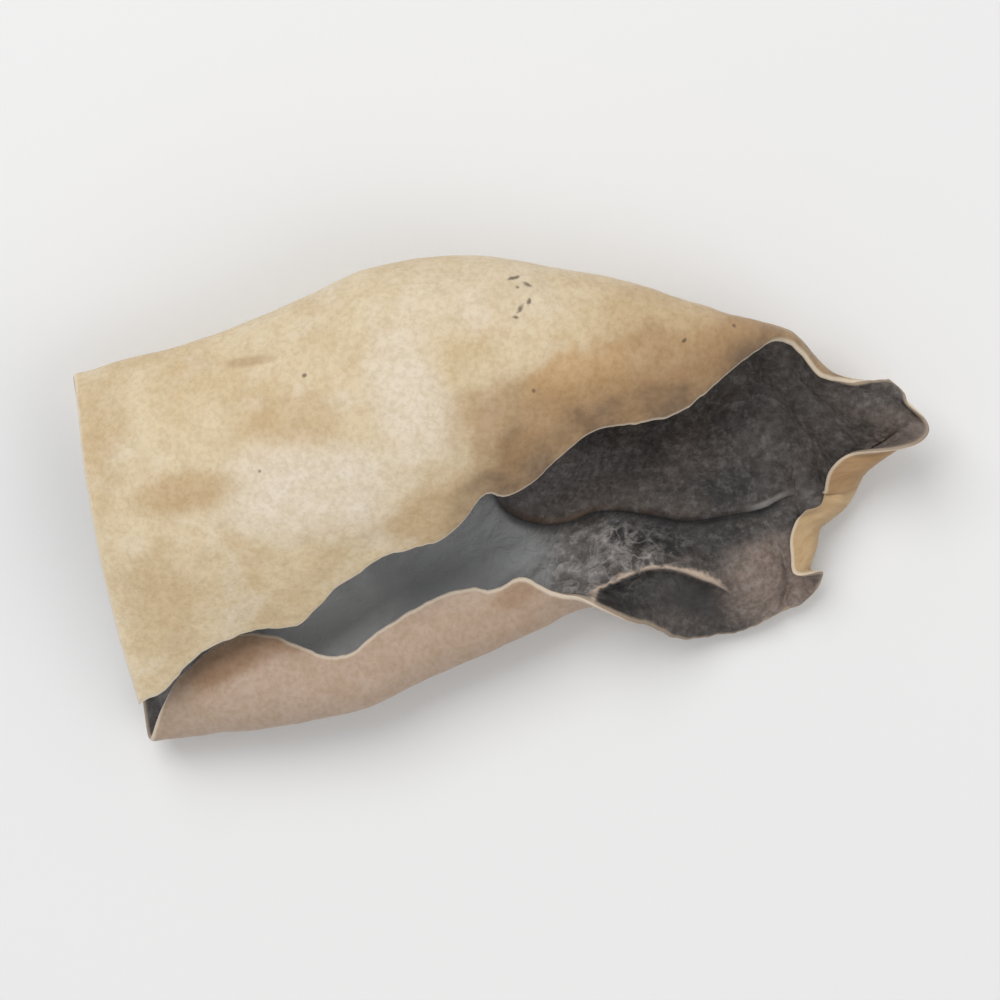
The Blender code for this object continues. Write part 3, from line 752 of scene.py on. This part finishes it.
def cream_felt():
    """The outer face: cream felt with clouds and painted highlights, orange and darker brown towards the
    flap's edge, a pinkish band, dark pits and a pale margin.
    """
    made, tree, shader = new_material("cream_felt")
    x = rails_x(tree)
    to_flap, to_rim, margin = (attribute(tree, name) for name in ("flap", "rim", "margin"))
    colour = blend(tree, clouds(tree, *WARM_CLOUDS), CREAM, CREAM_WARM)
    colour = laid(tree, colour, CREAM_WHITE_AND_PAINTED_HIGHLIGHT, clouds(tree, *WHITE_CLOUDS), 0.5)
    # Tone patches; the pale cream ones are painted highlight.
    colour = patched(tree, colour, OUTER_PATCHES)

    # Orange, then darker brown, towards the flap's edge.
    edge_tone_span = product(tree, fade(tree, x, *EDGE_TONE_STARTS), fade(tree, x, *EDGE_TONE_ENDS))
    wavy = maths(tree, "ADD", to_flap, swing(tree, 6.0, EDGE_TONE_WANDER))
    colour = laid(tree, colour, ORANGE, fade(tree, wavy, *ORANGE_WIDTH), edge_tone_span, 0.85)
    brown = product(tree, fade(tree, wavy, *BROWN_WIDTH), clouds(tree, *EDGE_CLOUDS))
    colour = laid(tree, colour, EDGE_BROWN, brown, edge_tone_span, 0.80)

    band = product(tree, fade(tree, to_rim, *BAND_WIDTH), fade(tree, x, *BAND_ENDS))
    colour = laid(tree, colour, BAND_PINK, band, 0.9)
    colour = patched(tree, colour, [(BAND_BROWN, BAND_PATCHES)], within=band)

    colour = tinted(tree, colour, clouds(tree, *FELT_MOTTLE), (0.93, 0.91, 0.87))
    colour = tinted(tree, colour, clouds(tree, *FELT_FIBRES), (0.90, 0.88, 0.85))
    pits = small_pits(tree)
    colour = laid(tree, colour, PIT, pits, 0.6)
    upper = fade(tree, to_flap, *PITS_WITHIN)
    for place in PITS:
        colour = laid(tree, colour, PIT, patch(tree, *place, softness=0.6, ragged=2.8, size=0.5), upper, 0.75)
    colour = laid(tree, colour, PALE_EDGE, fade(tree, margin, *FELT_MARGIN), 0.6)

    relief = maths(tree, "ADD", grain(tree, 1.6), product(tree, grain(tree, 0.30, detail=3), 0.22))
    relief = maths(tree, "SUBTRACT", relief, product(tree, pits, 0.5))
    finished(tree, shader, colour, relief, strength=0.5, depth=0.0004)
    shader.inputs["Roughness"].default_value = 0.92
    shader.inputs["Specular IOR Level"].default_value = 0.25
    shader.inputs["Sheen Weight"].default_value = 0.2
    shader.inputs["Sheen Roughness"].default_value = 0.5
    return made


def black_face():
    """The inner face: black-brown with bloom, pale wrinkles and rims along its folds, painted light over its
    hollow and on the lobe near the flap's edge, and painted shadow in patches, under the lobe's edge and in
    the ridge's hollow.
    """
    made, tree, shader = new_material("black_face")
    x = rails_x(tree)
    margin, wrinkle, wrinkled = (attribute(tree, name) for name in ("margin", "wrinkle", "wrinkled"))
    past_lobe, lobe = attribute(tree, "past_lobe"), attribute(tree, "lobe")
    past_ridge, ridge = attribute(tree, "past_ridge"), attribute(tree, "ridge")
    colour = blend(tree, clouds(tree, *BROWN_CLOUDS), BLACK, BLACK_BROWN)
    colour = patched(tree, colour, FACE_PATCHES)
    colour = laid(tree, colour, BLOOM_AND_PAINTED_LIGHT, clouds(tree, *BLOOM_SPECKS), 0.28)
    colour = laid(tree, colour, BLOOM_LINE, clouds(tree, *CRUMPLED_BLOOM), wrinkled, 0.45)
    colour = laid(tree, colour, BLOOM_LINE, wrinkle, 0.40)
    ripples = grain(tree, 3.0, detail=1.0, roughness=0.5, distortion=0.9)
    away = maths(tree, "ABSOLUTE", maths(tree, "SUBTRACT", ripples, 0.5))
    threads = product(tree, fade(tree, away, *THREAD_WIDTH), wrinkled)
    colour = laid(tree, colour, BLOOM_LINE, threads, 0.35)
    colour = tinted(tree, colour, clouds(tree, *FACE_MOTTLE), (0.62, 0.60, 0.58), (1.14, 1.12, 1.10))
    # Painted light: pale grey over the hollow between the lobe and the rim, kept off the lobe's top.
    off_lobe = maths(tree, "SUBTRACT", 1.0, product(tree, lobe, fade(tree, past_lobe, *LOBE_TOP)))
    colour = patched(tree, colour, PAINTED_LIGHT_PATCHES, within=off_lobe)

    # Painted shadow just below the lobe's edge.
    shade = product(tree, fade(tree, past_lobe, *SHADE_STARTS), fade(tree, past_lobe, *SHADE_ENDS), lobe)
    colour = laid(tree, colour, PAINTED_SHADOW, shade, 0.8)
    rim = product(tree, fade(tree, past_lobe, *RIM_STARTS), fade(tree, past_lobe, *RIM_ENDS), lobe)
    brown = product(tree, fade(tree, x, *RIM_BROWN_ENDS), clouds(tree, *RIM_CLOUDS))
    colour = laid(tree, colour, FOLD_BROWN, rim, brown, 0.75)
    colour = laid(tree, colour, BLOOM_LINE, rim, fade(tree, x, *RIM_PALE_STARTS), 0.6)
    # Painted shadow in the hollow on the near side of the ridge.
    hollow = product(tree, fade(tree, past_ridge, *HOLLOW_SHADOW_STARTS), fade(tree, past_ridge, *HOLLOW_SHADOW_ENDS))
    colour = laid(tree, colour, PAINTED_SHADOW, hollow, ridge, 0.75)
    uneven = maths(tree, "ADD", past_ridge, swing(tree, 2.4, CREST_WANDER))
    pale = product(tree, fade(tree, past_ridge, *CREST_STARTS), fade(tree, uneven, *CREST_ENDS))
    colour = laid(tree, colour, RIDGE_PALE, pale, fade(tree, ridge, *CREST_STRENGTH), 0.85)
    colour = laid(tree, colour, TAN_EDGE, fade(tree, margin, *FACE_MARGIN), 0.80)

    relief = maths(tree, "ADD", grain(tree, 1.5), product(tree, grain(tree, 0.45, detail=3), 0.3))
    relief = maths(tree, "ADD", relief, product(tree, threads, 0.25))
    finished(tree, shader, colour, relief, strength=0.6, depth=0.0005)
    tree.links.new(clouds(tree, *DULL_CLOUDS, least=0.50, most=0.85), shader.inputs["Roughness"])
    shader.inputs["Specular IOR Level"].default_value = 0.4
    return made


def build_ear():
    """The ear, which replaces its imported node."""
    ear = bpy.data.objects.new("wood_ear_skin", ear_mesh())
    bpy.context.scene.collection.objects.link(ear)
    ear.data.materials.append(cream_felt())
    ear.data.materials.append(black_face())
    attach(ear, "root")
    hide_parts(NODE)


# ---------------------------------------------------------------- the studio


def build_floor():
    """A square floor under the ear."""
    mesh = bpy.data.meshes.new("floor")
    half = FLOOR_SIZE / 2
    corners = [(-half, -half, 0), (half, -half, 0), (half, half, 0), (-half, half, 0)]
    mesh.from_pydata(corners, [], [(0, 1, 2, 3)])
    floor = bpy.data.objects.new("floor", mesh)
    bpy.context.scene.collection.objects.link(floor)
    floor.location.z = cad_bounds[0][2]
    made, _, shader = new_material("pale_floor")
    shader.inputs["Base Color"].default_value = (*FLOOR_COLOUR, 1.0)
    shader.inputs["Roughness"].default_value = 0.9
    mesh.materials.append(made)


def build_light(name, place, size, watts):
    """A square lamp that points at the middle of the floor."""
    lamp = bpy.data.lights.new(name, "AREA")
    lamp.shape = "SQUARE"
    lamp.size = size
    lamp.energy = watts
    light = bpy.data.objects.new(name, lamp)
    bpy.context.scene.collection.objects.link(light)
    light.location = place
    light.rotation_euler = (-mathutils.Vector(place)).to_track_quat("-Z", "Y").to_euler()


def build_studio():
    """A white surrounding, two lamps and the floor."""
    world = bpy.data.worlds.new("studio")
    bpy.context.scene.world = world
    world.use_nodes = True
    background = world.node_tree.nodes["Background"]
    background.inputs["Color"].default_value = (1.0, 1.0, 1.0, 1.0)
    background.inputs["Strength"].default_value = WORLD_STRENGTH
    for light in LIGHTS:
        build_light(*light)
    bpy.context.scene.view_settings.view_transform = "Standard"
    build_floor()


def build_camera():
    """A long lens that looks straight down at the middle of the ear, with the x axis across the picture."""
    low, high = (mathutils.Vector(corner) for corner in cad_bounds)
    middle = (low + high) / 2
    lens = bpy.data.cameras.new("camera")
    lens.lens = LENS
    lens.sensor_width = SENSOR
    lens.clip_start = CLIP_START
    camera = bpy.data.objects.new("camera", lens)
    bpy.context.scene.collection.objects.link(camera)
    distance = (high.x - low.x) / PICTURE_SHARE * LENS / SENSOR
    camera.location = middle + mathutils.Vector((0, 0, distance))
    camera.rotation_euler = (0.0, 0.0, 0.0)
    bpy.context.scene.camera = camera


build_ear()
build_studio()
build_camera()
